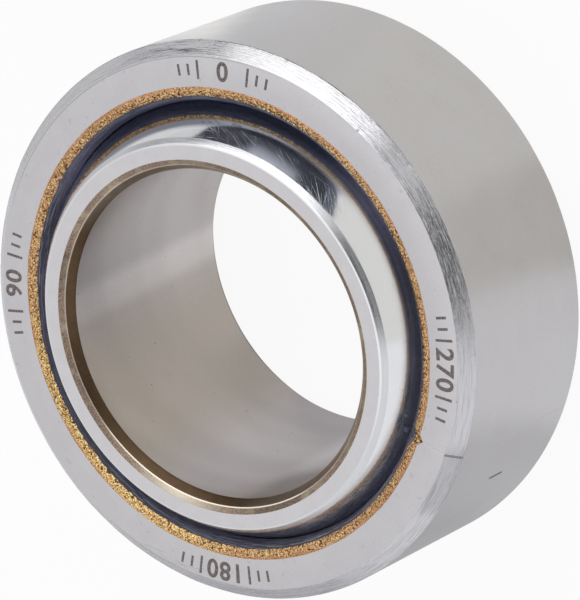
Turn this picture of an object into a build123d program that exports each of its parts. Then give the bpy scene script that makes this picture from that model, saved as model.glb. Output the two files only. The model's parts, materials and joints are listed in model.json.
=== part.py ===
from build123d import *
import os
from math import degrees, sqrt

# Radial spherical plain bearing for a 25 mm pin, lined with sintered bronze and PTFE.
# Z is the axis of the inner ring's bore, and the origin is the centre of the ball.
# The bearing lies on one end face of its inner ring. All lengths are in millimetres.

# Main sizes: the walls are measured at mid-width, and the outer one includes its lining
bore_diameter = 25.0
inner_wall = 5.25
outer_wall = 3.21
inner_ring_width = 20.0
outer_ring_width = 16.0

# Inner ring: a chamfer at each end of the bore, with a flatter land along its outer edge,
# and a chamfer between each end face and the ball
bore_chamfer_width = 0.92
bore_chamfer_depth = 0.95
bore_land_width = 0.48
bore_land_depth = 0.28
ball_edge_chamfer = 0.46

# Outer ring: chamfer at each end of the outside
outer_chamfer = 1.0

# Lining, from the ball outwards, and its rounded mouths
running_clearance = 0.04
sliding_layer_thickness = 0.25
bronze_thickness = 0.6
mouth_radius = 1.15
bronze_mouth_land = 0.05
bronze_mouth_show = 0.73

# Butt seam of the rolled outer ring: both layers fold outwards where its ends meet
seam_angle = 235.5
seam_gap = 0.02
sliding_fold_height = 0.45
sliding_fold_width = 1.9
bronze_fold_height = 0.38
bronze_fold_width = 0.9

# Tilt of the outer ring about Y, as the bearing lies
resting_tilt = 2.7

# Sizes that follow from the ones above
bore_radius = bore_diameter / 2
ball_radius = bore_radius + inner_wall
lining_radius = ball_radius + running_clearance
outside_radius = lining_radius + outer_wall
inner_half = inner_ring_width / 2
outer_half = outer_ring_width / 2
mouth_height = outer_half - mouth_radius
mouth_centre_radius = sqrt((lining_radius + mouth_radius) ** 2 - mouth_height**2)
bronze_mouth_radius = mouth_centre_radius + bronze_mouth_land
sliding_layer_mouth_radius = mouth_centre_radius - bronze_mouth_show
seam_arc = degrees(seam_gap / outside_radius)


def turned(section, arc=360):
    """Solid of revolution about Z; the section's x is a radius and its y is a height."""
    return revolve(Plane.XZ * section, axis=Axis.Z, revolution_arc=arc)


def rolled(section):
    """Strip of this section rolled into a ring, whose two ends all but meet at the seam."""
    return Rot(Z=seam_angle + seam_arc / 2) * turned(section, 360 - seam_arc)


def strip(radius, half_height):
    """Section rectangle from the axis out to a radius."""
    return Rectangle(radius, 2 * half_height, align=(Align.MIN, Align.CENTER))


def inner_ring_section():
    """Ball zone with flat ends, and a bore whose two chamfers have a land at their edge."""
    edge_height = inner_half - ball_edge_chamfer
    edge_radius = sqrt(ball_radius**2 - edge_height**2)
    chamfer_radius = bore_radius + bore_chamfer_width
    upper_end = [
        (edge_radius, edge_height),
        (edge_radius - ball_edge_chamfer, inner_half),
        (chamfer_radius, inner_half),
        (chamfer_radius - bore_land_width, inner_half - bore_land_depth),
        (bore_radius, inner_half - bore_chamfer_depth),
    ]
    lower_end = [(radius, -height) for radius, height in reversed(upper_end)]
    ends_and_bore = Polyline(*upper_end, *lower_end)
    ball = ThreePointArc(lower_end[-1], (ball_radius, 0), upper_end[0])
    return make_face([*ends_and_bore.edges(), ball])


def wall_section():
    """Whole wall of the outer ring, with the two mouths of its spherical bore rounded."""
    wall = strip(outside_radius, outer_half) - Circle(lining_radius)
    mouth_corners = wall.vertices().sort_by(Axis.X)[:2]
    return fillet(mouth_corners, mouth_radius)


def section_to_depth(depth, mouth_edge_radius):
    """Everything from the axis out to the back of a layer.

    The back is a sphere, at this depth under the sliding face, and straight at the mouths.
    """
    behind_ball = Circle(lining_radius + depth) & strip(outside_radius, outer_half)
    return behind_ball + strip(mouth_edge_radius, outer_half)


def seam_fold(base_radius, height, width):
    """Prism along the seam: as wide as given at its base radius, and sharp at its tip."""
    inner_edge = base_radius - height
    corners = [(inner_edge, -width), (base_radius + height, 0), (inner_edge, width)]
    outline = make_face(Polyline(*corners, close=True))
    return Rot(Z=seam_angle) * extrude(outline, outer_half, both=True)


def outer_ring_solids():
    """Steel, bronze and sliding layer of the rolled ring, with the seam through all."""
    wall = wall_section()
    sliding_side = section_to_depth(sliding_layer_thickness, sliding_layer_mouth_radius)
    lining_thickness = sliding_layer_thickness + bronze_thickness
    lining_side = section_to_depth(lining_thickness, bronze_mouth_radius)
    steel_section = wall - lining_side
    rims = steel_section.vertices().sort_by(Axis.X)[-2:]
    steel = rolled(chamfer(rims, outer_chamfer))
    bronze = rolled((wall & lining_side) - sliding_side)
    sliding = rolled(wall & sliding_side)

    sliding_fold = bronze & seam_fold(
        sliding_layer_mouth_radius, sliding_fold_height, sliding_fold_width
    )
    bronze_fold = steel & seam_fold(
        bronze_mouth_radius, bronze_fold_height, bronze_fold_width
    )
    return steel - bronze_fold, bronze - sliding_fold + bronze_fold, sliding + sliding_fold


os.makedirs("parts", exist_ok=True)
steel, bronze, sliding = outer_ring_solids()
tilt = Rot(Y=resting_tilt)
export_step(turned(inner_ring_section()), "parts/inner_ring.step")
export_step(tilt * steel, "parts/outer_ring.step")
export_step(tilt * bronze, "parts/bronze_layer.step")
export_step(tilt * sliding, "parts/sliding_layer.step")
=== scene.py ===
import json
from math import asin, atan2, cos, degrees, pi, radians, sin, sqrt, tau

import bmesh
import bpy
import numpy as np
from mathutils import Matrix, Vector


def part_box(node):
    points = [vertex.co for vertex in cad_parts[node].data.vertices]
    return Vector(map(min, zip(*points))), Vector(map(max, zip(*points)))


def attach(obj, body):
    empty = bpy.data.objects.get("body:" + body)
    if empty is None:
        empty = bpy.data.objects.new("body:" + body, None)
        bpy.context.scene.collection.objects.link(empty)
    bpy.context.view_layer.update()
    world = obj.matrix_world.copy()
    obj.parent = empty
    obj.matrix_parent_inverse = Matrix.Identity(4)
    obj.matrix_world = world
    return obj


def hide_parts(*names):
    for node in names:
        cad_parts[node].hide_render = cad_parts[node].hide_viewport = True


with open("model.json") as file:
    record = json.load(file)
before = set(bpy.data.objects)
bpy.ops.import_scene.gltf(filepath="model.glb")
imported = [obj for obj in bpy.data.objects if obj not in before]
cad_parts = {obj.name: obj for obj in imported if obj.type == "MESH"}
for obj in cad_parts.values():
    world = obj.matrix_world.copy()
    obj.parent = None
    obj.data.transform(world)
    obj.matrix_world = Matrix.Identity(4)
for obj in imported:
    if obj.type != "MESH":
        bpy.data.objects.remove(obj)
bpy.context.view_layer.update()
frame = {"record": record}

# A spherical plain bearing lying on the end face of its inner ring. The two rings and the
# two layers of the lining are turned here from the solids' own sections, with the finish
# of each surface. Lengths are in metres in the meshes and in millimetres in the finishes,
# except for the depth of a bump. Angles are in degrees about the axis of the ring that they
# belong to.

MM = 0.001

# Sizes from the frame
mounts = {mount["name"]: mount for mount in frame["record"]["mounts"]}
BORE_RADIUS = mounts["bore"]["dims"]["r_mm"] * MM
OUTSIDE_RADIUS = mounts["outside"]["dims"]["r_mm"] * MM
BALL_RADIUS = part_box("inner_ring")[1].x
INNER_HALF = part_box("inner_ring")[1].z
FLOOR_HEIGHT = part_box("inner_ring")[0].z
outer_axis = Vector(mounts["outside"]["axis"])
OUTER_TILT = atan2(outer_axis.x, outer_axis.z)

# Inner ring: the edge of each end face rolls over to the ball in two flats, and the rows of
# the ball start this many radians below it
BORE_CHAMFER_WIDTH = 0.92 * MM
BORE_CHAMFER_DEPTH = 0.95 * MM
BORE_LAND_WIDTH = 0.48 * MM
BORE_LAND_DEPTH = 0.28 * MM
BALL_EDGE_CHAMFER = 0.46 * MM
EDGE_ROLL_WIDTH = 0.5 * MM
EDGE_CORNER_WIDTH = 0.34 * MM
EDGE_CORNER_DROP = 0.03 * MM
BALL_START = radians(1)

# Outer ring and its lining
OUTER_HALF = 8.0 * MM
OUTER_CHAMFER = 1.0 * MM
RUNNING_CLEARANCE = 0.04 * MM
SLIDING_THICKNESS = 0.25 * MM
BRONZE_THICKNESS = 0.6 * MM
MOUTH_RADIUS = 1.15 * MM
BRONZE_MOUTH_LAND = 0.05 * MM
BRONZE_MOUTH_SHOW = 0.73 * MM
SKIN_LAP = 0.05 * MM
LINING_RADIUS = BALL_RADIUS + RUNNING_CLEARANCE
MOUTH_HEIGHT = OUTER_HALF - MOUTH_RADIUS
MOUTH_CENTRE_RADIUS = sqrt((LINING_RADIUS + MOUTH_RADIUS) ** 2 - MOUTH_HEIGHT**2)
RIM_RADIUS = OUTSIDE_RADIUS - OUTER_CHAMFER
SHOULDER_HEIGHT = OUTER_HALF - OUTER_CHAMFER

# Butt seam of the rolled outer ring, and the groove along it
SEAM_ANGLE = 235.5
SEAM_GAP = 0.02 * MM
SLIDING_FOLD_HEIGHT = 0.45 * MM
SLIDING_FOLD_WIDTH = 1.9 * MM
BRONZE_FOLD_HEIGHT = 0.38 * MM
BRONZE_FOLD_WIDTH = 0.9 * MM
GROOVE_HALF_WIDTH = 0.12 * MM
GROOVE_IN_CHAMFER = 0.055 * MM
GROOVE_IN_FACE = 0.012 * MM
# Share along each axis of a depth that is measured square to a 45 degree chamfer
DIAGONAL = 0.7

# Roundings of the corners
EDGE_EASE = 0.03 * MM
SHOULDER_EASE = 0.06 * MM
ROLL_EASE = 0.05 * MM
FACE_EDGE_EASE = 0.08 * MM
EASE_STEPS = 3

# How finely the meshes are divided
INNER_COLUMNS = 720
OUTER_COLUMNS = 1440
BRONZE_COLUMNS = 2000
BALL_ROWS = 42
BORE_ROWS = 13
BACK_ROWS = 5
BRONZE_MOUTH_ROWS = 19
SLIDING_MOUTH_ROWS = 24
# Rows across the steel's end face, as shares of its width. The second and the last keep the
# unevenness of its edges from shading it, and a row this far from each shoulder does the
# same for the wall.
FACE_SHARES = (0, 0.01, 0.2, 0.4, 0.6, 0.8, 0.955)
EDGE_GUARD = 0.12 * MM
NECK_DEPTH = 0.02 * MM


# Angles about a ring

def turn_from(angles, centre):
    """Angles counted from a centre, the short way round, so from -180 to 180."""
    return (angles - centre + 180) % 360 - 180


def close_to(angles, centre, reach, softness):
    """1 close to an angle and 0 beyond the reach, which it comes down to over the softness."""
    return np.clip((reach - np.abs(turn_from(angles, centre))) / softness, 0, 1)


def arc_length(angles, radius):
    """Distance along a circle, in mm."""
    return np.radians(angles) * radius / MM


# Random fields that close on themselves around a ring

def lattice(u, v, cell, circumference, seed):
    """Which cell of a grid each point is in, its place in it, and a table of random numbers."""
    columns = max(1, round(circumference / cell[0]))
    across = v / cell[1]
    along = u / circumference * columns
    column, row = np.floor(along).astype(int), np.floor(across).astype(int)
    row_low = row.min() - 2
    table = np.random.default_rng(seed).random((row.max() - row_low + 4, columns, 3))
    return along - column, across - row, column, row - row_low, table


def soft_noise(u, v, cell, circumference, seed):
    """Smooth random field from -1 to 1."""
    fraction_u, fraction_v, column, row, table = lattice(u, v, cell, circumference, seed)
    ease_u = fraction_u * fraction_u * (3 - 2 * fraction_u)
    ease_v = fraction_v * fraction_v * (3 - 2 * fraction_v)
    columns = table.shape[1]
    here, after = column % columns, (column + 1) % columns
    low = table[row, here, 0] * (1 - ease_u) + table[row, after, 0] * ease_u
    high = table[row + 1, here, 0] * (1 - ease_u) + table[row + 1, after, 0] * ease_u
    return 2 * (low * (1 - ease_v) + high * ease_v) - 1


def grains(u, v, size, circumference, seed):
    """Packed grains: distance to the nearest centre and to the next, and a shade for each."""
    fraction_u, fraction_v, column, row, table = lattice(
        u, v, (size, size), circumference, seed
    )
    nearest = np.full(u.shape, 9.0)
    second = np.full(u.shape, 9.0)
    shade = np.zeros(u.shape)
    for step_u in (-1, 0, 1):
        for step_v in (-1, 0, 1):
            cell = table[row + step_v, (column + step_u) % table.shape[1]]
            offset_u = step_u + cell[..., 0] - fraction_u
            offset_v = step_v + cell[..., 1] - fraction_v
            distance = np.hypot(offset_u, offset_v)
            closer = distance < nearest
            second = np.where(closer, nearest, np.minimum(second, distance))
            shade = np.where(closer, cell[..., 2], shade)
            nearest = np.where(closer, distance, nearest)
    return nearest, second, shade


# Turned meshes

def eased(corners, eases):
    """Points that round each corner, by its own amount where one is given. Zero leaves it be."""
    arcs = []
    for corner, (radius, height) in enumerate(corners):
        ease = eases.get(corner, EDGE_EASE)
        here = np.array((radius, height))
        if ease == 0:
            arcs.append([tuple(here)])
            continue
        before = np.array(corners[corner - 1]) - here
        after = np.array(corners[(corner + 1) % len(corners)]) - here
        before /= np.hypot(*before)
        after /= np.hypot(*after)
        shares = np.linspace(0, 1, EASE_STEPS + 1)
        arcs.append([tuple(here + ease * ((1 - t) ** 2 * before + t**2 * after)) for t in shares])
    return arcs


def between(start, end, steps):
    """Evenly spaced points after the start and before the end."""
    shares = np.linspace(0, 1, steps + 1)[1:-1]
    return [
        (start[0] + (end[0] - start[0]) * share, start[1] + (end[1] - start[1]) * share)
        for share in shares
    ]


def add_object(name, data):
    """New object, put into the scene."""
    made = bpy.data.objects.new(name, data)
    bpy.context.scene.collection.objects.link(made)
    return made


def turned_uv(radii, heights, turn, closed):
    """Texture coordinates of each quad's corners: mm around the axis and mm along the outline."""
    outline = np.stack([radii[:, 0], heights[:, 0]])
    step = np.hypot(*np.diff(outline, append=outline[:, :1]))
    along = np.concatenate([[0], np.cumsum(step)]) / MM
    reference = float(radii.mean())
    around = turn * reference / MM
    around_after = np.append(around[1:], around[0] + tau * reference / MM)
    u = np.stack([around, around, around_after, around_after], axis=-1)
    if not closed:
        u = u[:-1]
    v = np.stack([along[:-1], along[1:], along[1:], along[:-1]], axis=-1)
    uv = np.zeros((len(v), len(u), 4, 2))
    uv[..., 0] = u[None]
    uv[..., 1] = v[:, None]
    return uv.ravel()


def ring_piece(name, radii, heights, angles, closed, zones, materials):
    """Mesh of an outline, in rows, turned through the angles, in columns. The outline closes."""
    rows, columns = radii.shape
    turn = np.radians(np.broadcast_to(angles, radii.shape))
    points = np.stack([radii * np.cos(turn), radii * np.sin(turn), heights], axis=-1)
    row = np.arange(rows)[:, None]
    column = np.arange(columns if closed else columns - 1)[None, :]
    next_row, next_column = (row + 1) % rows, (column + 1) % columns
    corners = [
        row * columns + column,
        next_row * columns + column,
        next_row * columns + next_column,
        row * columns + next_column,
    ]
    faces = np.stack(corners, axis=-1).reshape(-1, 4).tolist()
    if not closed:
        faces.append([i * columns for i in reversed(range(rows))])
        faces.append([i * columns + columns - 1 for i in range(rows)])
    mesh = bpy.data.meshes.new(name)
    mesh.from_pydata(points.reshape(-1, 3).tolist(), [], faces)

    layer = mesh.uv_layers.new(name="turned")
    uv = turned_uv(radii, heights, turn[0], closed)
    values = np.zeros(len(layer.data) * 2)
    values[: uv.size] = uv
    layer.data.foreach_set("uv", values)

    slots = np.repeat(np.array(zones), column.shape[1])
    slots = np.append(slots, np.zeros(len(faces) - len(slots), int))
    mesh.polygons.foreach_set("material_index", slots.astype(np.int32))
    mesh.polygons.foreach_set("use_smooth", np.ones(len(faces), bool))
    mesh.update()
    for material in materials:
        mesh.materials.append(material)
    return add_object(name, mesh)


def add_values(piece, name, values):
    """Number at each point of a mesh, for its material to read."""
    attribute = piece.data.attributes.new(name, "FLOAT", "POINT")
    attribute.data.foreach_set("value", values.ravel().astype(np.float32))


# Shader building

class Value:
    """What a node gives: a number or a place that varies over a surface.

    Reckoning with one adds the nodes for it.
    """

    def __init__(self, tree, socket):
        self.tree = tree
        self.socket = socket

    def calculate(self, operation, *others):
        inputs = dict(enumerate((self, *others)))
        return output(self.tree, "ShaderNodeMath", inputs, operation=operation)

    def __add__(self, other):
        return self.calculate("ADD", other)

    def __sub__(self, other):
        return self.calculate("SUBTRACT", other)

    def __mul__(self, other):
        return self.calculate("MULTIPLY", other)

    def __truediv__(self, other):
        return self.calculate("DIVIDE", other)

    def __abs__(self):
        return self.calculate("ABSOLUTE")

    def maximum(self, other):
        return self.calculate("MAXIMUM", other)

    def remap(self, low, high, to_low=0.0, to_high=1.0, smooth=True):
        """Takes low to to_low and high to to_high, and stays at those outside the two."""
        inputs = {"Value": self, "From Min": low, "From Max": high}
        inputs.update({"To Min": to_low, "To Max": to_high})
        kind = "SMOOTHSTEP" if smooth else "LINEAR"
        return output(self.tree, "ShaderNodeMapRange", inputs, interpolation_type=kind)

    def spread(self, least, most):
        """Noise stretched evenly to run from least to most."""
        return self.remap(0.25, 0.75, least, most, smooth=False)

    def blend(self, first, second):
        """First colour where this number is 0 and second colour where it is 1."""
        return mix(self.tree, self, first, second, "MIX")


class Shade(Value):
    """A colour that varies over a surface. Times a number, it gets lighter or darker."""

    def __mul__(self, number):
        grey = combine(number, number, number)
        return mix(self.tree, 1.0, self, grey, "MULTIPLY")


def add_node(tree, kind, inputs, **settings):
    """New node, whose inputs are constants or values that other nodes give."""
    made = tree.nodes.new(kind)
    for key, value in settings.items():
        setattr(made, key, value)
    for key, value in inputs.items():
        fill(tree, made.inputs[key], value)
    return made


def fill(tree, socket, value):
    """Links a value to a socket, or sets a constant on it."""
    if isinstance(value, Value):
        tree.links.new(value.socket, socket)
    else:
        socket.default_value = value


def output(tree, kind, inputs=None, socket=0, **settings):
    """What a new node gives."""
    return Value(tree, add_node(tree, kind, inputs or {}, **settings).outputs[socket])


def mix(tree, share, first, second, kind):
    """Mix of two colours; the node has its factor in place 0 and its colours in 6 and 7."""
    inputs = {0: share, 6: first, 7: second}
    made = add_node(tree, "ShaderNodeMix", inputs, data_type="RGBA", blend_type=kind)
    return Shade(tree, made.outputs[2])


def combine(x, y=0.0, z=0.0):
    """A place from its coordinates."""
    return output(x.tree, "ShaderNodeCombineXYZ", {"X": x, "Y": y, "Z": z})


def split(place):
    """The three coordinates of a place or direction."""
    made = add_node(place.tree, "ShaderNodeSeparateXYZ", {0: place})
    return [Value(place.tree, socket) for socket in made.outputs]


def direction_angle(x, y):
    return y.calculate("ARCTAN2", x).calculate("DEGREES")


def within(angle, centre, half_width, softness):
    """1 within half_width of an angle in degrees and 0 away from it, right round the circle."""
    away = abs((angle - centre).calculate("WRAP", 180.0, -180.0))
    return away.remap(half_width - softness / 2, half_width + softness / 2, 1.0, 0.0)


def colour(red, green, blue):
    """Colour given as it looks on a screen, from 0 to 255, for a socket that takes linear light."""
    def linear(value):
        share = value / 255
        return share / 12.92 if share <= 0.04045 else ((share + 0.055) / 1.055) ** 2.4

    return (linear(red), linear(green), linear(blue), 1.0)


# Radius at which a streak is as long as it is asked to be
STREAK_RADIUS = 18.0


class Finish:
    """A material with the coordinates that its marks follow, in mm and in degrees.

    Slope is the radius less the height, so it runs across a chamfer. East and north are the
    cosine and the sine of the angle. Turned is the texture coordinates of a turned mesh.
    """

    def __init__(self, name, metallic=1.0):
        self.material = bpy.data.materials.new(name)
        self.material.use_nodes = True
        self.tree = self.material.node_tree
        self.shader = self.tree.nodes["Principled BSDF"]
        self.set("Metallic", metallic)
        place = self.output("ShaderNodeTexCoord", socket="Object")
        inputs = {0: place, "Scale": 1 / MM}
        self.place = self.output("ShaderNodeVectorMath", inputs, operation="SCALE")
        self.x, self.y, self.z = split(self.place)
        self.radius = (self.y * self.y + self.x * self.x).calculate("SQRT")
        self.east = self.x / self.radius
        self.north = self.y / self.radius
        self.angle = direction_angle(self.x, self.y)
        self.slope = self.radius - abs(self.z)
        self.turned = self.output("ShaderNodeUVMap", uv_map="turned")

    def output(self, kind, inputs=None, socket=0, **settings):
        return output(self.tree, kind, inputs, socket, **settings)

    def set(self, name, value):
        """Sets a property of the material to a constant or to what a node gives."""
        fill(self.tree, self.shader.inputs[name], value)

    def near(self, angle, half_width, softness):
        return within(self.angle, angle, half_width, softness)

    def attribute(self, name):
        return self.output("ShaderNodeAttribute", socket="Fac", attribute_name=name)

    def noise(self, scale, detail=2.0, roughness=0.5, place=None):
        inputs = {"Vector": place or self.place, "Scale": scale}
        inputs.update({"Detail": detail, "Roughness": roughness})
        return self.output("ShaderNodeTexNoise", inputs, "Fac")

    def streaks(self, length, width, across, detail=2.0):
        """Marks that run around the axis; across is the coordinate that they are stacked along."""
        reach = STREAK_RADIUS / length
        place = combine(self.east * reach, self.north * reach, across * (1 / width))
        return self.noise(1.0, detail, place=place)

    def bump(self, height, distance, strength=1.0, normal=None):
        """Relief of a depth in metres, on top of another one where that is given."""
        inputs = {"Height": height, "Distance": distance, "Strength": strength}
        if normal is not None:
            inputs["Normal"] = normal
        return self.output("ShaderNodeBump", inputs)

    def scratches(self, turns, spacing, length, width, bare, sway):
        """Fine, nearly straight scratches over the surface, from 0 to 1.

        They lie in lanes, once for each of the turns, and fewer of them show with more bare.
        """
        aside = self.noise(0.12, 0.0) * sway
        found = 0.0
        for turn in turns:
            inputs = {"Vector": self.turned, "Angle": radians(turn)}
            rotated = self.output("ShaderNodeVectorRotate", inputs, rotation_type="Z_AXIS")
            along, across, _ = split(rotated)
            lanes = (across + aside) / spacing
            lane = lanes.calculate("FLOOR")
            inputs = {"W": lane + turn}
            chance = self.output(
                "ShaderNodeTexWhiteNoise", inputs, "Value", noise_dimensions="1D"
            )
            middle = chance * 0.8 + 0.1
            away = abs(lanes - lane - middle) * spacing
            line = away.remap(width * 0.4, width, 1.0, 0.0)
            stretch = combine(along / length, lane * 3.7)
            present = self.noise(1.0, 0.0, place=stretch).remap(bare, bare + 0.12)
            found = (line * present).maximum(found)
        return found


# Finishes of the outer ring

# A fine line runs round the face, just inside the rim
RIM_LINE_RADIUS = 19.93


def turned_face():
    finish = Finish("turned_face")
    mottle = finish.noise(0.55, 3.0, 0.6)
    grain = finish.noise(9.0, 3.0, 0.7)
    lines = finish.streaks(9.0, 0.05, finish.radius)
    spots = finish.noise(2.3, 1.0).remap(0.70, 0.76, 1.0, 0.88)
    pale = mottle.blend(colour(196, 194, 197), colour(209, 208, 210))
    pale = pale * grain.spread(0.91, 1.07) * spots
    towards_light = finish.east * 0.5 + finish.north * -0.866
    lit = (towards_light * finish.radius.remap(18.1, 19.7, 0.0, 0.1)).maximum(-0.02)
    pale = pale * (lit + 1.0)
    line = abs(finish.radius - RIM_LINE_RADIUS).remap(0.015, 0.05, 0.5, 0.0)
    line = line * (finish.near(15.0, 38.0, 20.0) + finish.near(152.0, 17.0, 16.0))
    pale = line.blend(pale, colour(118, 117, 121))
    scuffs = finish.scratches(
        (8.0, -14.0, 2.0), spacing=0.4, length=2.5, width=0.03, bare=0.52, sway=0.3
    )
    scuffs = scuffs * finish.near(149.0, 11.0, 8.0) * finish.radius.remap(18.9, 19.4)
    finish.set("Base Color", scuffs.blend(pale, colour(178, 177, 180)))
    finish.set("Roughness", mottle.remap(0.2, 0.8, 0.32, 0.42))
    coarse = finish.bump(grain, 2.5e-6, 0.6)
    finish.set("Normal", finish.bump(lines, 1.2e-6, 0.6, coarse))
    return finish.material


def turned_chamfer():
    finish = Finish("turned_chamfer")
    broad = finish.streaks(6.0, 0.22, finish.slope, 1.0)
    coarse = finish.streaks(1.9, 0.12, finish.slope, 3.0)
    fine = finish.streaks(0.8, 0.05, finish.slope)
    together = broad * 0.5 + (fine * 0.5 + coarse)
    smooth = finish.near(331.0, 17.0, 11.0)
    scored = finish.near(357.0, 7.0, 9.0)
    cuts = together.remap(0.84, 1.02, 0.84, 1.0).maximum(smooth * 0.92)
    cuts = cuts - together.remap(0.80, 0.92, 0.5, 0.0) * scored
    cuts = cuts - finish.near(229.0, 8.0, 5.0) * 0.2 - finish.near(301.0, 4.0, 8.0) * 0.28
    pale = coarse.blend(colour(196, 196, 200), colour(218, 218, 221))
    pale = smooth.blend(pale, colour(205, 205, 207))
    finish.set("Base Color", pale * cuts)
    finish.set("Roughness", coarse.remap(0.3, 0.7, 0.13, 0.25))
    finish.set("Normal", finish.bump(together, 3.6e-5, smooth * -0.45 + 0.8))
    return finish.material


def barrel():
    finish = Finish("barrel")
    mottle = finish.noise(0.35)
    grain = finish.noise(7.0, 3.0, 0.7)
    lines = finish.streaks(14.0, 0.16, finish.z)
    pale = mottle.blend(colour(190, 188, 187), colour(201, 200, 200))
    pale = pale * grain.spread(0.95, 1.04)
    mark = abs(finish.z + 0.05).remap(0.75, 1.0, 1.0, 0.0) * finish.near(224.6, 0.27, 0.2)
    finish.set("Base Color", mark.blend(pale, colour(38, 36, 40)))
    finish.set("Roughness", mottle.remap(0.2, 0.8, 0.26, 0.36))
    finish.set("Normal", finish.bump(lines, 2e-6, 0.5))
    return finish.material


def etched():
    finish = Finish("etched", 0.2)
    speckle = finish.noise(6.0, 3.0, 0.7)
    dark = speckle.remap(0.3, 0.7).blend(colour(80, 72, 72), colour(132, 122, 119))
    finish.set("Base Color", dark)
    finish.set("Roughness", 0.6)
    finish.set("Normal", finish.bump(speckle, 1e-5, 0.7))
    return finish.material


# Finishes of the lining

def bronze():
    """Reads from the mesh where the bronze is light, raised or smoothed over, and where glints are
    painted.
    """
    finish = Finish("bronze")
    fine = finish.noise(13.0, 2.0, 0.6)
    tone = fine * 2.1 + (finish.attribute("shade") * 0.6 - 0.85)
    warm = tone.blend(colour(146, 94, 58), colour(252, 210, 156))
    # Painted highlights: more glints and a warmer gold on the side at 122°, and bright painted
    # glints, some of them read from the mesh
    painted_sparkle_side = finish.near(122.0, 42.0, 30.0)
    painted_glint = (painted_sparkle_side * 0.1 + finish.noise(9.0, 1.0)).remap(0.63, 0.68, 0.0, 0.9)
    painted_glint = painted_glint.maximum(finish.attribute("painted_glint"))
    warm = (painted_sparkle_side * 0.3).blend(warm, colour(236, 182, 96))
    warm = painted_glint.blend(warm, colour(255, 238, 172))
    warm = (finish.attribute("smooth") * 0.8).blend(warm, colour(188, 132, 88))
    # Random dark pits, and painted shade where the grains' relief is low, in the hollows between
    # them
    pit_and_hollow_shade = fine.blend(colour(60, 44, 36), colour(112, 80, 58))
    unpitted = finish.noise(7.5, 1.0).remap(0.37, 0.44, 0.15, 1.0)
    raised = finish.attribute("relief").remap(0.02, 0.45)
    warm = unpitted.calculate("MINIMUM", raised).blend(pit_and_hollow_shade, warm)
    # Painted light: the bronze lighter on the side at 308°
    warm = warm * (finish.near(308.0, 64.0, 20.0) * 0.2 + 1.0)
    # Painted shade on the bronze's inner slope, on the side at 262°
    inner_slope = finish.radius.remap(16.95, 17.25, 1.0, 0.0)
    painted_slope_shade = inner_slope * finish.near(262.0, 23.0, 20.0)
    finish.set("Base Color", warm * (painted_slope_shade * -0.52 + 1.0))
    finish.set("Roughness", fine.remap(0.3, 0.7, 0.2, 0.42))
    finish.set("Normal", finish.bump(fine, 2.8e-5, 0.9))
    return finish.material


def sliding_skin():
    """Reads from the mesh where a crease is."""
    finish = Finish("sliding_skin", 0.0)
    finish.set("Specular IOR Level", 0.25)
    smear = finish.streaks(4.0, 0.09, finish.slope, 3.0)
    blotch = finish.noise(2.6, 2.0, 0.6)
    dark = smear.blend(colour(50, 50, 62), colour(68, 68, 84))
    dark = dark * blotch.remap(0.3, 0.7, 0.86, 1.18, smooth=False)
    # Painted light: the skin lighter deeper in the gap, and more so on the side at 345°
    deep_painted_light = abs(finish.z).remap(6.4, 7.3, 4.8, 1.1)
    dark = dark * (deep_painted_light * (finish.near(345.0, 60.0, 20.0) * 1.2 + 1.0))
    rubs = finish.scratches(
        (0.0, 4.0, -5.0), spacing=0.3, length=2.0, width=0.03, bare=0.5, sway=0.6
    )
    lighter_zone = finish.near(32.0, 42.0, 20.0).maximum(finish.near(175.0, 26.0, 20.0))
    dark = (rubs * lighter_zone).blend(dark, colour(126, 126, 140))
    finish.set("Base Color", finish.attribute("crease").blend(dark, colour(176, 176, 188)))
    finish.set("Roughness", smear.remap(0.3, 0.7, 0.3, 0.5))
    finish.set("Normal", finish.bump(smear, 1.8e-5, 0.8))
    return finish.material


# Finishes of the inner ring

# A band of painted shade on the ball, which dims the lining's mouth where the ball mirrors it, ends
# at this height, which rises by so much towards the east and the north, and by so much towards both
# the east and the west
SHADE_BAND_HEIGHT = 9.83
SHADE_BAND_RISE_EAST = -1.02
SHADE_BAND_RISE_NORTH = 1.8
SHADE_BAND_RISE_SIDES = -0.52


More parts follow.
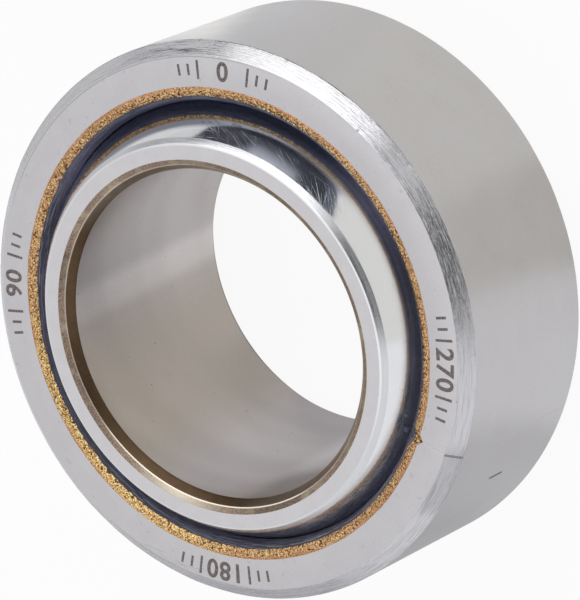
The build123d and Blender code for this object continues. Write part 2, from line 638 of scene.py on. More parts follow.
def chrome_ball():
    finish = Finish("chrome_ball")
    turns = (-33.0, -27.0, -40.0, -46.0, -20.0)
    fine = finish.scratches(turns, spacing=0.24, length=3.5, width=0.012, bare=0.46, sway=0.3)
    turns = (-36.0, -24.0, -58.0, 8.0)
    bold = finish.scratches(turns, spacing=0.7, length=5.0, width=0.017, bare=0.5, sway=0.4)
    height = abs(finish.z)
    lines = (fine * 0.6).maximum(bold)
    lines = lines * finish.noise(0.5, 1.0).remap(0.35, 0.65, 0.25, 1.0)
    lines = lines * height.remap(7.9, 8.4)
    shade = lines.blend(colour(231, 232, 235), colour(242, 242, 244))
    shade_band_end = finish.north * SHADE_BAND_RISE_NORTH + (finish.east * SHADE_BAND_RISE_EAST + SHADE_BAND_HEIGHT)
    shade_band_end = finish.east * finish.east * SHADE_BAND_RISE_SIDES + shade_band_end
    above_shade_band = height - shade_band_end
    # Painted reflection: the ball darker and bluer where it mirrors the outer ring's face, on the
    # side at 350°
    painted_dark_reflection = above_shade_band.remap(0.3, 0.8, 0.9, 0.0) * finish.near(350.0, 42.0, 24.0)
    shade = painted_dark_reflection.blend(shade, colour(134, 140, 151))
    # Painted shade: a dark bluish band just below that height, strongest on the side at 262°, which
    # dims the mirrored bronze
    painted_shade_band = above_shade_band.remap(-0.12, 0.04, 1.0, 0.0) * above_shade_band.remap(-0.6, -0.35)
    painted_shade_band = painted_shade_band * (finish.near(262.0, 60.0, 30.0) * 0.5 + 0.15)
    finish.set("Base Color", painted_shade_band.blend(shade, colour(120, 135, 160)))
    even = finish.noise(0.8).remap(0.2, 0.8, -0.02, 0.03)
    dull = finish.near(250.0, 70.0, 24.0) * above_shade_band.remap(0.0, 0.7, 0.13, 0.0)
    blended = even + height.remap(7.5, 8.6, 0.1, 0.065) + dull
    finish.set("Roughness", lines * 0.2 + blended)
    finish.set("Normal", finish.bump(lines, 1.5e-6, 0.5))
    return finish.material


def chrome_edge():
    finish = Finish("chrome_edge")
    lines = finish.streaks(3.0, 0.05, finish.slope, 3.0)
    shade = lines.blend(colour(200, 202, 206), colour(232, 233, 236))
    # Painted highlight: the roll of the edge lighter on the side at 298°
    roll = finish.slope.remap(4.68, 4.74, 1.0, 0.0) * finish.near(298.0, 56.0, 40.0)
    finish.set("Base Color", roll.blend(shade, colour(246, 247, 250)))
    finish.set("Roughness", lines.remap(0.3, 0.7, 0.14, 0.26))
    finish.set("Normal", finish.bump(lines, 1.1e-5, 0.7))
    return finish.material


def ground_face():
    finish = Finish("ground_face")
    mottle = finish.noise(0.7, 3.0, 0.6)
    grain = finish.noise(7.0, 2.0, 0.6)
    lines = finish.streaks(6.0, 0.07, finish.radius)
    spots = finish.noise(2.6, 1.0).remap(0.75, 0.8)
    pale = mottle.blend(colour(203, 201, 203), colour(217, 216, 217))
    pale = pale * grain.spread(0.96, 1.03)
    finish.set("Base Color", spots.blend(pale, colour(202, 184, 172)))
    finish.set("Roughness", mottle.remap(0.2, 0.8, 0.26, 0.36))
    coarse = finish.bump(grain, 1.4e-6, 0.6)
    finish.set("Normal", finish.bump(lines, 1.0e-6, 0.6, coarse))
    return finish.material


# A painted highlight runs along the edge between the two bore chamfers, at this slope
LAND_HIGHLIGHT_SLOPE = 3.235


def bore_land():
    finish = Finish("bore_land")
    speckle = finish.noise(8.0, 3.0, 0.7)
    brown = speckle.remap(0.3, 0.7).blend(colour(116, 97, 82), colour(172, 154, 138))
    cloud = finish.noise(0.6).remap(0.5, 0.72, 0.0, 0.55)
    blended = cloud.blend(brown, colour(196, 186, 160))
    # Painted highlight: the land lighter on the side at 149°
    lighter_zone = finish.near(149.0, 10.0, 24.0) * 0.7
    blended = lighter_zone.blend(blended, colour(226, 217, 198))
    # Painted shade on the sides at 188° and 60°, and painted light on the side at 280°
    painted_shade_zones = finish.near(188.0, 12.0, 14.0).maximum(finish.near(60.0, 7.0, 8.0))
    painted_light_zone = finish.near(280.0, 35.0, 25.0)
    blended = blended * (painted_shade_zones * -0.34 + 1.0) * (painted_light_zone * 0.24 + 1.0)
    # Painted highlight along the edge between the chamfers, brightest on the side at 158°
    line = abs(finish.slope - LAND_HIGHLIGHT_SLOPE).remap(0.012, 0.032, 1.0, 0.0)
    line = line * (finish.near(158.0, 41.0, 8.0) * 0.65 + 0.35)
    finish.set("Base Color", line.blend(blended, colour(246, 238, 222)))
    finish.set("Roughness", 0.42)
    finish.set("Normal", finish.bump(speckle, 1.2e-5, 0.7))
    return finish.material


def bore_chamfer():
    finish = Finish("bore_chamfer")
    cloud = finish.noise(1.4, 3.0, 0.6)
    brown = cloud.blend(colour(84, 67, 50), colour(111, 91, 71))
    grey = cloud.blend(colour(158, 144, 131), colour(202, 188, 174))
    finish.set("Base Color", finish.near(108.0, 74.0, 30.0).blend(grey, brown))
    finish.set("Roughness", 0.34)
    finish.set("Normal", finish.bump(finish.noise(8.0, 2.0, 0.6), 4e-6, 0.6))
    return finish.material


def bore_wall():
    finish = Finish("bore_wall")
    mottle = finish.noise(0.4, 3.0, 0.6)
    grain = finish.noise(7.0, 2.0, 0.7)
    bands = finish.noise(0.22, 1.0, place=combine(finish.angle * 0.05 + finish.z))
    pale = mottle.blend(colour(180, 175, 173), colour(194, 189, 187))
    # Painted light and shade: soft diagonal bands, the wall lighter towards the bottom, and lighter
    # on the side at 160°
    pale = pale * bands.remap(0.35, 0.65, 0.94, 1.05) * finish.z.remap(-8.0, 8.0, 1.17, 0.98)
    pale = pale * (finish.near(160.0, 28.0, 30.0) * 0.07 + 1.0)
    # Painted shadow high in the bore on the side at 188°
    painted_shadow = finish.near(188.0, 14.0, 10.0) * finish.z.remap(1.5, 5.0)
    pale = pale * (painted_shadow * -0.28 + 1.0)
    # Painted light low in the bore at 182°, and all along it at 75°
    glow = finish.near(182.0, 9.0, 10.0) * finish.z.remap(4.5, 1.0)
    glow = glow.maximum(finish.near(75.0, 6.0, 7.0))
    pale = pale * (glow * 0.26 + 1.0)
    brown = finish.near(110.0, 27.0, 26.0) * 0.6
    pale = brown.blend(pale, colour(182, 171, 153)) * grain.spread(0.95, 1.04)
    specks = finish.noise(4.4, 0.0).remap(0.87, 0.9)
    finish.set("Base Color", specks.blend(pale, colour(110, 98, 90)))
    finish.set("Roughness", mottle.remap(0.2, 0.8, 0.28, 0.38))
    finish.set("Normal", finish.bump(finish.streaks(12.0, 0.2, finish.z), 1.5e-6, 0.5))
    return finish.material


# Inner ring

def inner_ring():
    """Ball zone, end faces, and the bore with its chamfers, as one closed outline."""
    chamfer_radius = BORE_RADIUS + BORE_CHAMFER_WIDTH
    edge_height = INNER_HALF - BALL_EDGE_CHAMFER
    edge_radius = sqrt(BALL_RADIUS**2 - edge_height**2)
    ball_top = asin(edge_height / BALL_RADIUS) - BALL_START
    upper = [
        (BORE_RADIUS, INNER_HALF - BORE_CHAMFER_DEPTH),
        (chamfer_radius - BORE_LAND_WIDTH, INNER_HALF - BORE_LAND_DEPTH),
        (chamfer_radius, INNER_HALF),
        (edge_radius - EDGE_ROLL_WIDTH, INNER_HALF),
        (edge_radius - EDGE_CORNER_WIDTH, INNER_HALF - EDGE_CORNER_DROP),
        (edge_radius, edge_height),
        (BALL_RADIUS * cos(ball_top), BALL_RADIUS * sin(ball_top)),
    ]
    lower = [(radius, -height) for radius, height in reversed(upper)]
    wall, chamfer, land, face, edge, ball = range(6)
    upper_zones = [chamfer, land, face, edge, edge, ball]
    zone_after = [*upper_zones, ball, *reversed(upper_zones), wall]
    divisions = {wall: 12, chamfer: 3, land: 3, face: 4, edge: 2, ball: 1}
    eases = {3: FACE_EDGE_EASE, 4: ROLL_EASE, 6: 0}
    last = len(zone_after) - 1
    eases.update({last - corner: ease for corner, ease in eases.items()})
    arcs = eased(upper + lower, eases)
    outline, zones = [], []
    for corner, zone in enumerate(zone_after):
        arc = arcs[corner]
        if corner == len(upper_zones):
            swing = np.linspace(ball_top, -ball_top, BALL_ROWS)[1:-1]
            steps = [(BALL_RADIUS * cos(a), BALL_RADIUS * sin(a)) for a in swing]
        else:
            steps = between(arc[-1], arcs[(corner + 1) % len(arcs)][0], divisions[zone])
        outline += arc + steps
        zones += [zone_after[corner - 1]] * (len(arc) // 2)
        zones += [zone] * ((len(arc) + 1) // 2 + len(steps))
    angles = np.linspace(0, 360, INNER_COLUMNS, endpoint=False)
    radii = np.repeat(np.array(outline)[:, :1], INNER_COLUMNS, axis=1)
    heights = np.repeat(np.array(outline)[:, 1:], INNER_COLUMNS, axis=1)
    materials = [
        bore_wall(), bore_chamfer(), bore_land(), ground_face(), chrome_edge(), chrome_ball()
    ]
    piece = ring_piece("inner_ring_turned", radii, heights, angles, True, zones, materials)
    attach(piece, "inner")
    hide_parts("inner_ring")


# Outer ring and its lining, in the outer ring's own frame

def seam_rise(angles, radius, height, width):
    """How far a layer's edge folds outwards near the seam."""
    away = np.abs(np.radians(turn_from(angles, SEAM_ANGLE)))
    return height * np.clip(1 - away * radius / (width / 2), 0, 1)


def seam_distance(angles, radius):
    """Distance along the surface from the seam, in mm."""
    return np.abs(arc_length(turn_from(angles, SEAM_ANGLE), radius))


def ragged(angles, radius, size, seed):
    """Unevenness of a layer's edge, which both layers beside it share."""
    u = arc_length(angles, radius)
    around = tau * radius / MM
    broad = soft_noise(u, np.zeros_like(u), (1.6, 1.0), around, seed)
    fine = soft_noise(u, np.zeros_like(u), (0.22, 1.0), around, seed + 1)
    return size * (0.5 * broad + 0.5 * fine)


def bronze_edge(angles):
    """Radius at which the bronze meets the steel on an end face."""
    radius = MOUTH_CENTRE_RADIUS + BRONZE_MOUTH_LAND
    fold = seam_rise(angles, radius, BRONZE_FOLD_HEIGHT, BRONZE_FOLD_WIDTH)
    return radius + fold + ragged(angles, radius, 0.025 * MM, 11)


def sliding_edge(angles):
    """Radius at which the sliding layer gives way to the bronze."""
    radius = MOUTH_CENTRE_RADIUS - BRONZE_MOUTH_SHOW
    fold = seam_rise(angles, radius, SLIDING_FOLD_HEIGHT, SLIDING_FOLD_WIDTH)
    return radius + SKIN_LAP + fold + ragged(angles, radius, 0.05 * MM, 21)


def layer_back(depth, edge):
    """Rows down the back of a layer: straight at the mouths and spherical behind the ball."""
    back = LINING_RADIUS + depth
    corner = np.sqrt(back**2 - edge**2)
    shares = np.linspace(1, -1, BACK_ROWS)[:, None]
    heights = corner[None] * shares
    radii = np.sqrt(back**2 - heights**2)
    return radii, heights


def seam_columns(count):
    """Angles from one side of the seam right round to the other."""
    gap = degrees(SEAM_GAP / OUTSIDE_RADIUS)
    return SEAM_ANGLE + np.linspace(gap / 2, 360 - gap / 2, count)


def stack(*parts):
    """One array of rows from arrays of rows and single rows."""
    return np.concatenate([np.atleast_2d(part) for part in parts])


def place_outer(piece, node):
    piece.rotation_euler = (0, OUTER_TILT, 0)
    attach(piece, "outer")
    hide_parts(node)


# Nicks in the edges of the upper chamfer: angle, half width and depth in mm, and place
# across the chamfer, from 0 at the face to 1 at the wall
NICKS = [
    (297.0, 0.12, 0.03, 1.0),
    (308.5, 0.16, 0.06, 0.0),
    (330.5, 0.14, 0.035, 1.0),
    (351.0, 0.12, 0.035, 1.0),
    (20.0, 0.18, 0.05, 0.0),
    (71.0, 0.14, 0.035, 1.0),
    (166.0, 0.20, 0.05, 0.0),
    (205.0, 0.16, 0.04, 1.0),
    (248.0, 0.16, 0.05, 0.0),
]
NICK_SPREAD = 0.12


def worn_edges(angles, radii, heights, side):
    """Makes a chamfer's width a little uneven and puts a few nicks in its edges."""
    around = tau * OUTSIDE_RADIUS / MM
    u = arc_length(angles, OUTSIDE_RADIUS)[None] + 0 * radii
    across = np.clip((radii - RIM_RADIUS) / OUTER_CHAMFER, 0, 1)
    above = side * heights > SHOULDER_HEIGHT - 2 * EDGE_EASE
    here = above & (radii > RIM_RADIUS - 2 * EDGE_EASE)
    fine = soft_noise(u, across, (0.25, 0.3), around, 71 + side)
    broad = soft_noise(u, across, (2.2, 1.0), around, 73 + side)
    uneven = 0.010 + 0.007 * fine + 0.010 * broad
    drop = here * uneven * (4 * (across - 0.5) ** 2)
    if side > 0:
        for angle, half_width, depth, place in NICKS:
            away = arc_length(turn_from(angles, angle), OUTSIDE_RADIUS)[None]
            off = ((across - place) / NICK_SPREAD) ** 2
            drop = drop + here * depth * np.exp(-((away / half_width) ** 2) - off)
    radii -= drop * DIAGONAL * MM
    heights -= side * drop * DIAGONAL * MM


FACE, CHAMFER, WALL, HIDDEN = range(4)


def outside_outline():
    """Points from the upper rim over both chamfers and the wall to the lower rim, and zones."""
    corners = [
        (MOUTH_CENTRE_RADIUS, OUTER_HALF),
        (RIM_RADIUS, OUTER_HALF),
        (OUTSIDE_RADIUS, SHOULDER_HEIGHT),
        (OUTSIDE_RADIUS, -SHOULDER_HEIGHT),
        (RIM_RADIUS, -OUTER_HALF),
        (MOUTH_CENTRE_RADIUS, -OUTER_HALF),
    ]
    arcs = eased(corners, {2: SHOULDER_EASE, 3: SHOULDER_EASE})
    divisions = {CHAMFER: 10, WALL: 8}
    outline, zones = [], []
    before = FACE
    for corner, zone in enumerate((CHAMFER, WALL, CHAMFER, FACE), 1):
        arc, next_arc = arcs[corner], arcs[corner + 1]
        steps = []
        if zone in divisions:
            steps = between(arc[-1], next_arc[0], divisions[zone])
        if zone == WALL:
            top, bottom = arc[-1][1] - EDGE_GUARD, next_arc[0][1] + EDGE_GUARD
            steps = [(OUTSIDE_RADIUS, top), *steps, (OUTSIDE_RADIUS, bottom)]
        outline += arc + steps
        zones += [before] * (len(arc) // 2) + [zone] * (len(arc) // 2 + len(steps))
        before = zone
    return np.array(outline), zones


# Distances from the seam, in mm, of columns that the groove along it needs
GROOVE_COLUMNS = (0.035, 0.07, 0.11, 0.16)


def outer_ring():
    angles = seam_columns(OUTER_COLUMNS - 2 * len(GROOVE_COLUMNS))
    extra = np.degrees(np.array(GROOVE_COLUMNS) * MM / OUTSIDE_RADIUS)
    angles = np.sort(np.concatenate([angles, angles[0] + extra, angles[-1] - extra]))
    edge = bronze_edge(angles)
    back_radii, back_heights = layer_back(SLIDING_THICKNESS + BRONZE_THICKNESS, edge)
    outline, zones = outside_outline()
    outside_radii = outline[:, :1] * np.ones_like(angles)[None]
    outside_heights = outline[:, 1:] * np.ones_like(angles)[None]
    for side in (1, -1):
        worn_edges(angles, outside_radii, outside_heights, side)

    face_radii = edge[None] + (outline[0, 0] - edge[None]) * np.array(FACE_SHARES)[:, None]
    face_heights = np.full_like(face_radii, OUTER_HALF)
    neck = np.full_like(edge, OUTER_HALF - NECK_DEPTH)
    radii = stack(back_radii[::-1], edge, face_radii, outside_radii, face_radii[::-1], edge)
    heights = stack(
        back_heights[::-1], neck, face_heights, outside_heights, -face_heights[::-1], -neck
    )
    face_zones = [FACE] * len(face_radii)
    zones = [HIDDEN] * (len(back_radii) + 1) + face_zones + zones + face_zones[1:] + [HIDDEN] * 2
    on_chamfer = (np.array(zones) == CHAMFER)[:, None]
    on_face = (np.array(zones) == FACE)[:, None]
    away = seam_distance(angles, OUTSIDE_RADIUS)[None] * MM
    groove = np.clip(1 - away / GROOVE_HALF_WIDTH, 0, 1)
    in_chamfer = DIAGONAL * GROOVE_IN_CHAMFER * groove * on_chamfer
    in_face = GROOVE_IN_FACE * groove * on_face
    radii = radii - in_chamfer
    heights = heights - np.sign(heights) * (in_chamfer + in_face)
    materials = [turned_face(), turned_chamfer(), barrel(), turned_face()]
    piece = ring_piece("outer_ring_rolled", radii, heights, angles, False, zones, materials)
    place_outer(piece, "outer_ring")


# Bronze: the size of its grains in mm, their height, and the level that they stand about
GRAIN_SIZE = 0.13
GRAIN_HEIGHT = 0.075 * MM
GRAIN_LEVEL = 0.66


def bronze_mouth(angles, inner, outer, seed):
    """Rows of grains across the bronze where it shows, and the values that its finish reads."""
    shares = np.linspace(0, 1, BRONZE_MOUTH_ROWS)[:, None]
    radii = inner[None] + (outer - inner)[None] * shares
    inward = np.clip(MOUTH_CENTRE_RADIUS - radii, 0, MOUTH_RADIUS)
    heights = MOUTH_HEIGHT + np.sqrt(MOUTH_RADIUS**2 - inward**2)
    around = tau * MOUTH_CENTRE_RADIUS / MM
    u = arc_length(angles, MOUTH_CENTRE_RADIUS)[None] + 0 * radii
    v = (radii - MOUTH_CENTRE_RADIUS) / MM + 10
    nearest, second, shade = grains(u, v, GRAIN_SIZE, around, seed)
    lump = np.clip(1.25 - nearest / 0.8, 0, 1) ** 0.6
    crack = np.clip((second - nearest) / 0.16, 0, 1)
    near_skin = np.clip(1 - shares * 2.2, 0, 1)
    pores = soft_noise(u, v, (0.12, 0.11), around, seed + 2) * 2.6 - 1.0 + 0.3 * near_skin
    patches = soft_noise(u, v, (0.9, 0.9), around, seed + 3)
    smooth = np.clip((shares - 0.74) * 5 + 0.9 * patches, 0, 1)
    pores = np.clip(pores, 0, 1) * (1 - 0.8 * smooth)
    relief = lump * crack * (0.6 + 0.4 * shade) * (1 - pores)
    relief = relief * (1 - smooth) + smooth * (0.78 + 0.18 * lump * crack)
    at_seam = np.exp(-((seam_distance(angles, MOUTH_CENTRE_RADIUS)[None] / 0.13) ** 2))
    relief = relief * (1 - 0.95 * at_seam * np.clip(shares * 3 - 1.2, 0, 1))
    fade = np.clip(np.minimum(shares, 1 - shares) * 8, 0, 1)
    rise = (relief - GRAIN_LEVEL) * GRAIN_HEIGHT * fade
    slope = inward / MOUTH_RADIUS
    # Painted glints: light grains near the inner edge, on the sides at 322° and 112°
    lit = close_to(angles, 322, 38.4, 24) + close_to(angles, 112, 38.4, 24)
    painted_glint = lit[None] * (shade > 0.72) * np.clip(2 - np.abs(shares - 0.13) / 0.06, 0, 1)
    values = {"shade": shade, "relief": relief, "smooth": smooth, "painted_glint": painted_glint}
    return radii - rise * slope, heights + rise * np.sqrt(1 - slope**2), values


def bronze_layer():
    angles = seam_columns(BRONZE_COLUMNS)
    inner, outer = sliding_edge(angles), bronze_edge(angles)
    upper_radii, upper_heights, upper_values = bronze_mouth(angles, inner, outer, 31)
    lower_radii, lower_heights, lower_values = bronze_mouth(angles, inner, outer, 41)
    front_radii, front_heights = layer_back(SLIDING_THICKNESS, inner)
    back_radii, back_heights = layer_back(SLIDING_THICKNESS + BRONZE_THICKNESS, outer)
    radii = stack(front_radii[::-1], upper_radii, back_radii, lower_radii[::-1])
    heights = stack(front_heights[::-1], upper_heights, back_heights, -lower_heights[::-1])
    zones = [0] * len(radii)
    piece = ring_piece(
        "bronze_layer_sintered", radii, heights, angles, False, zones, [bronze()]
    )
    plain = np.zeros_like(front_radii)
    for name, upper in upper_values.items():
        add_values(piece, name, stack(plain, upper, plain, lower_values[name][::-1]))
    place_outer(piece, "bronze_layer")


# Creases along the sliding layer's mouth: distance from its edge and half width in mm, strength
CREASES = [(0.16, 0.045, 1.0), (0.3, 0.05, 0.8), (0.46, 0.05, 0.35), (0.64, 0.05, 0.2)]
CREASE_HEIGHT = 0.045 * MM
LUMP_HEIGHT = 0.012 * MM


def sliding_mouth(angles, swing_start, swing_end, seed):
    """Rows of creased skin over the rounded mouth, and how bright the creases are."""
    shares = np.linspace(0, 1, SLIDING_MOUTH_ROWS)[:, None] ** 1.35
    swing = swing_start[None] + (swing_end - swing_start)[None] * shares
    around = tau * MOUTH_CENTRE_RADIUS / MM
    u = arc_length(angles, MOUTH_CENTRE_RADIUS)[None] + 0 * swing
    v = (swing - swing_start[None]) * MOUTH_RADIUS / MM
    lines = 0 * v
    for line, (place, half_width, strength) in enumerate(CREASES):
        wander = soft_noise(u, 0 * v + line, (2.4, 1.0), around, seed + line)
        quick = soft_noise(u, 0 * v + line, (0.45, 1.0), around, seed + 5)
        present = soft_noise(u, 0 * v + line, (1.3, 1.0), around, seed + 6 + line)
        present = np.clip(present * 4 + 0.6, 0, 1)
        away = np.abs(v - place - 0.05 * wander - 0.025 * quick)
        crease = strength * present * np.clip(1 - away / half_width, 0, 1)
        lines = np.maximum(lines, crease)
    shaded = soft_noise(u, 0 * v, (5.0, 1.0), around, seed + 12)
    smoother = close_to(angles, 297, 51, 30) + close_to(angles, 106, 34, 20)
    lines = lines * np.clip(0.8 + 0.5 * shaded, 0, 1) * (1 - 0.8 * smoother)[None]
    fibres = np.clip(soft_noise(u, v, (0.12, 0.5), around, seed + 13) * 2.5 - 1.0, 0, 1)
    at_seam = np.exp(-((seam_distance(angles, MOUTH_CENTRE_RADIUS)[None] / 0.9) ** 2))
    lines = np.maximum(lines, fibres * at_seam)
    lumps = soft_noise(u, v, (0.5, 0.2), around, seed + 2)
    fade = np.clip(np.minimum(shares * 16, (1 - shares) * 5), 0, 1)
    reach = MOUTH_RADIUS + (CREASE_HEIGHT * lines + LUMP_HEIGHT * lumps) * fade
    radii = MOUTH_CENTRE_RADIUS - reach * np.sin(swing)
    heights = MOUTH_HEIGHT + reach * np.cos(swing)
    return radii, heights, np.clip(lines * 0.85, 0, 1) * fade


def sliding_layer():
    """Its mouths swing from the bronze's edge to where they run into the spherical bore."""
    angles = seam_columns(OUTER_COLUMNS)
    edge = sliding_edge(angles)
    bore_share = LINING_RADIUS / (LINING_RADIUS + MOUTH_RADIUS)
    bore_height = MOUTH_HEIGHT * bore_share
    swing_end = pi - asin(MOUTH_CENTRE_RADIUS * (1 - bore_share) / MOUTH_RADIUS)
    swing_start = np.arcsin((MOUTH_CENTRE_RADIUS - edge) / MOUTH_RADIUS)
    upper_radii, upper_heights, upper_creases = sliding_mouth(angles, swing_start, swing_end, 51)
    lower_radii, lower_heights, lower_creases = sliding_mouth(angles, swing_start, swing_end, 61)
    bore_heights = np.linspace(-bore_height, bore_height, BORE_ROWS)[1:-1, None]
    bore_heights = bore_heights * np.ones_like(angles)[None]
    bore_radii = np.sqrt(LINING_RADIUS**2 - bore_heights**2)
    back_radii, back_heights = layer_back(SLIDING_THICKNESS, edge)
    radii = stack(lower_radii, bore_radii, upper_radii[::-1], back_radii)
    heights = stack(-lower_heights, bore_heights, upper_heights[::-1], back_heights)
    zones = [0] * len(radii)
    piece = ring_piece(
        "sliding_layer_skin", radii, heights, angles, False, zones, [sliding_skin()]
    )
    creases = stack(lower_creases, 0 * bore_radii, upper_creases[::-1], 0 * back_radii)
    add_values(piece, "crease", creases)
    place_outer(piece, "sliding_layer")


# Degree scale etched in the upper face of the outer ring: each number with its angle about
# the ring, and the ticks beside it, of which the nearest two are long
SCALE_NUMBERS = [("0", 344.0), ("90", 74.0), ("180", 164.0), ("270", 254.0)]
SCALE_TICKS = (-11.5, -9.0, -6.5, 6.5, 9.0, 11.5)
LONG_TICK = 6.5
SCALE_RADIUS = 18.98 * MM
SCALE_HEIGHT = 1.4 * MM
SCALE_WEIGHT = 0.035
TICK_WIDTH = 0.2 * MM
ETCH_ABOVE = 0.004 * MM
ETCH_BELOW = 0.02 * MM
# Height of the font's figures as a share of its size
FIGURE_SHARE = 0.7


def number_outline(text):
    """Flat mesh of a number, centred on the origin."""
    curve = bpy.data.curves.new(text, "FONT")
    curve.body = text
    curve.align_x = "CENTER"
    curve.align_y = "CENTER"
    curve.size = SCALE_HEIGHT / FIGURE_SHARE
    curve.offset = SCALE_WEIGHT * SCALE_HEIGHT
    curve.space_character = 1.12
    curve.resolution_u = 6
    curve.fill_mode = "BOTH"
    made = add_object(text, curve)
    graph = bpy.context.evaluated_depsgraph_get()
    mesh = bpy.data.meshes.new_from_object(made.evaluated_get(graph))
    bpy.data.objects.remove(made)
    low = min(vertex.co.y for vertex in mesh.vertices)
    high = max(vertex.co.y for vertex in mesh.vertices)
    for vertex in mesh.vertices:
        vertex.co.y -= (low + high) / 2
    part = bmesh.new()
    part.from_mesh(mesh)
    bmesh.ops.remove_doubles(part, verts=part.verts, dist=1e-7)
    return part


def tick_outline(share):
    """Flat mesh of a tick, centred on the origin, with its height as a share of a number's."""
    x, y = TICK_WIDTH / 2, SCALE_HEIGHT * share / 2
    part = bmesh.new()
    corners = [(-x, -y, 0), (x, -y, 0), (x, y, 0), (-x, y, 0)]
    part.faces.new([part.verts.new(corner) for corner in corners])
    return part


def wrap_into(flat, part, centre):
    """Wraps a mesh round the face, so that it reads clockwise from above, and adds it to flat."""
    made = {}
    for vertex in part.verts:
        angle = radians(centre) - vertex.co.x / SCALE_RADIUS
        radius = SCALE_RADIUS + vertex.co.y
        place = (radius * cos(angle), radius * sin(angle), OUTER_HALF + ETCH_ABOVE)
        made[vertex] = flat.verts.new(place)
    for face in part.faces:
        flat.faces.new([made[vertex] for vertex in face.verts])
    part.free()
    flat.normal_update()


def scale_marks():
    """Numbers and ticks as thin solids let into the face, with their tops outwards."""
    flat = bmesh.new()
    for text, centre in SCALE_NUMBERS:
        wrap_into(flat, number_outline(text), centre)
        for turn in SCALE_TICKS:
            share = 1.0 if abs(turn) == LONG_TICK else 0.6
            wrap_into(flat, tick_outline(share), centre + turn)
    for face in flat.faces:
        if face.normal.z < 0:
            face.normal_flip()
    raised = bmesh.ops.extrude_face_region(flat, geom=flat.faces[:], use_keep_orig=True)
    for item in raised["geom"]:
        if isinstance(item, bmesh.types.BMVert):
            item.co.z -= ETCH_ABOVE + ETCH_BELOW
    bmesh.ops.recalc_face_normals(flat, faces=flat.faces[:])
    mesh = bpy.data.meshes.new("scale_marks")
    flat.to_mesh(mesh)
    flat.free()
    mesh.materials.append(etched())
    piece = add_object("scale_marks", mesh)
    piece.rotation_euler = (0, OUTER_TILT, 0)
    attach(piece, "outer")


# Stage, light and camera

WHITE = (1, 1, 1, 1)
FLOOR_RADIUS = 0.11
CAMERA_AZIMUTH = 16.41
CAMERA_ELEVATION = 51.74
CAMERA_ROLL = -118.15
CAMERA_DISTANCE = 0.38066
CAMERA_ASIDE = 0.349 * MM
CAMERA_BELOW = 0.128 * MM
CAMERA_LENS = 309.664
CAMERA_SENSOR = 36.0

# Tones of the floor as it shows in polished steel, by angle about the bearing: centre, half
# width, softness, shade, and how far out it reaches in mm
FLOOR_TONE = (0.83, 0.825, 0.85)
PAST_FLOOR = 1000.0
FLOOR_TONES = [
    (305.0, 45.0, 16.0, (0.89, 0.875, 0.855), PAST_FLOOR),
    (275.0, 13.0, 8.0, (0.75, 0.73, 0.70), PAST_FLOOR),
    (241.0, 20.0, 10.0, (0.96, 0.955, 0.985), PAST_FLOOR),
    (211.0, 13.0, 12.0, (0.72, 0.715, 0.74), PAST_FLOOR),
    (165.0, 34.0, 20.0, (0.56, 0.555, 0.58), PAST_FLOOR),
    (344.0, 8.0, 8.0, (0.84, 0.83, 0.83), PAST_FLOOR),
    (40.0, 30.0, 14.0, (0.76, 0.755, 0.76), PAST_FLOOR),
    (21.0, 10.0, 12.0, (1.2, 1.2, 1.19), 48.0),
    (123.0, 12.0, 12.0, (0.68, 0.675, 0.69), PAST_FLOOR),
]
# How much of the floor's shade glows by itself, seen straight and mirrored
GLOW_SEEN = 0.93
GLOW_MIRRORED = 0.85

# Panels of the studio: azimuth, elevation, half width and half height, softness, shade, and
# lean, which is how far the sides lean per degree of elevation, and the other two per degree
# of azimuth
STUDIO_LIGHT = (0.9, 0.895, 0.905)
STUDIO_PANELS = [
    (279.0, 6.0, (33.0, 15.0), 3.5, (0.78, 0.775, 0.745), (0.0, 0.0)),
    (50.0, -10.0, (36.0, 14.0), 10.0, (0.7, 0.695, 0.69), (0.0, 0.0)),
    (348.5, 34.5, (29.5, 24.5), 7.0, (1.8, 1.8, 1.8), (0.0, 0.0)),
    (276.5, 44.5, (26.5, 27.5), 6.0, (0.15, 0.15, 0.16), (0.0, 0.0)),
    (331.0, 1.0, (16.4, 10.0), 2.0, (0.048, 0.051, 0.065), (-0.69, 0.0)),
    (0.5, -3.5, (24.0, 8.0), 3.0, (0.06, 0.062, 0.08), (0.69, 0.0)),
    (317.5, 1.0, (2.6, 10.0), 2.5, (0.1, 0.115, 0.15), (-0.69, 0.0)),
    (345.0, 4.5, (12.5, 3.0), 6.5, (0.42, 0.44, 0.5), (0.0, -0.25)),
    (40.0, 1.0, (10.0, 7.0), 6.0, (0.42, 0.425, 0.45), (0.0, 0.0)),
    (139.0, -6.0, (20.0, 12.0), 12.0, (0.46, 0.455, 0.48), (0.0, 0.0)),
]


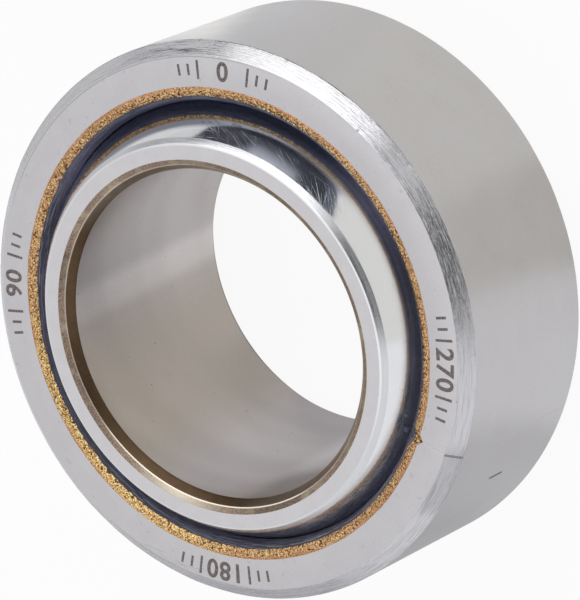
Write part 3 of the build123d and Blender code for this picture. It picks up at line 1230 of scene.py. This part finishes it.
def floor():
    mesh = bpy.data.meshes.new("floor")
    edit = bmesh.new()
    bmesh.ops.create_circle(edit, cap_ends=True, radius=FLOOR_RADIUS, segments=128)
    edit.to_mesh(mesh)
    edit.free()
    piece = add_object("floor", mesh)
    piece.location.z = FLOOR_HEIGHT
    finish = Finish("floor", 0.0)
    finish.set("Base Color", (0.8, 0.8, 0.8, 1))
    finish.set("Roughness", 1.0)
    finish.set("Specular IOR Level", 0.0)
    tone = (*FLOOR_TONE, 1)
    for centre, half_width, softness, shade, reach in FLOOR_TONES:
        share = finish.near(centre, half_width, softness)
        share = share * finish.radius.remap(reach, reach * 1.2, 1.0, 0.0)
        tone = share.blend(tone, (*shade, 1))
    ray = add_node(finish.tree, "ShaderNodeLightPath", {}).outputs
    seen = Value(finish.tree, ray["Is Camera Ray"])
    mirrored = Value(finish.tree, ray["Is Glossy Ray"])
    mirrored = mirrored.maximum(Value(finish.tree, ray["Is Transmission Ray"]))
    inputs = {"Color": seen.blend(tone, WHITE), "Strength": 1.0}
    glow = finish.output("ShaderNodeEmission", inputs)
    share = mirrored * GLOW_MIRRORED + seen * GLOW_SEEN
    plain = Value(finish.tree, finish.shader.outputs[0])
    mixed = finish.output("ShaderNodeMixShader", {0: share, 1: plain, 2: glow})
    fill(finish.tree, finish.tree.nodes["Material Output"].inputs["Surface"], mixed)
    mesh.materials.append(finish.material)


def studio():
    """Soft light from all round, with soft-edged panels of other shades laid over it."""
    world = bpy.data.worlds.new("studio")
    world.use_nodes = True
    bpy.context.scene.world = world
    tree = world.node_tree
    x, y, z = split(output(tree, "ShaderNodeTexCoord", socket="Generated"))
    azimuth = direction_angle(x, y)
    elevation = z.calculate("ARCSINE").calculate("DEGREES")
    light = (*STUDIO_LIGHT, 1)
    for centre, middle, half_size, softness, shade, lean in STUDIO_PANELS:
        turn = (azimuth - centre).calculate("WRAP", 180.0, -180.0)
        rise = elevation - middle
        across = rise * -lean[0] + turn
        up = turn * -lean[1] + rise
        share = within(across, 0.0, half_size[0], softness)
        share = share * within(up, 0.0, half_size[1], softness)
        light = share.blend(light, (*shade, 1))
    seen = output(tree, "ShaderNodeLightPath", socket="Is Camera Ray")
    fill(tree, tree.nodes["Background"].inputs["Color"], seen.blend(light, WHITE))


def camera():
    azimuth, elevation = radians(CAMERA_AZIMUTH), radians(CAMERA_ELEVATION)
    back = Vector((sin(azimuth) * cos(elevation), -cos(azimuth) * cos(elevation), sin(elevation)))
    level = Vector((cos(azimuth), sin(azimuth), 0))
    upright = back.cross(level)
    roll = radians(CAMERA_ROLL)
    right = level * cos(roll) + upright * sin(roll)
    up = back.cross(right)
    data = bpy.data.cameras.new("camera")
    data.lens = CAMERA_LENS
    data.sensor_width = CAMERA_SENSOR
    data.clip_start = 0.01
    data.clip_end = 10.0
    made = add_object("camera", data)
    axes = Matrix((right, up, back)).transposed().to_4x4()
    place = right * CAMERA_ASIDE - up * CAMERA_BELOW + back * CAMERA_DISTANCE
    made.matrix_world = Matrix.Translation(place) @ axes
    bpy.context.scene.camera = made


inner_ring()
outer_ring()
bronze_layer()
sliding_layer()
scale_marks()
floor()
studio()
camera()
bpy.context.scene.view_settings.view_transform = "Standard"
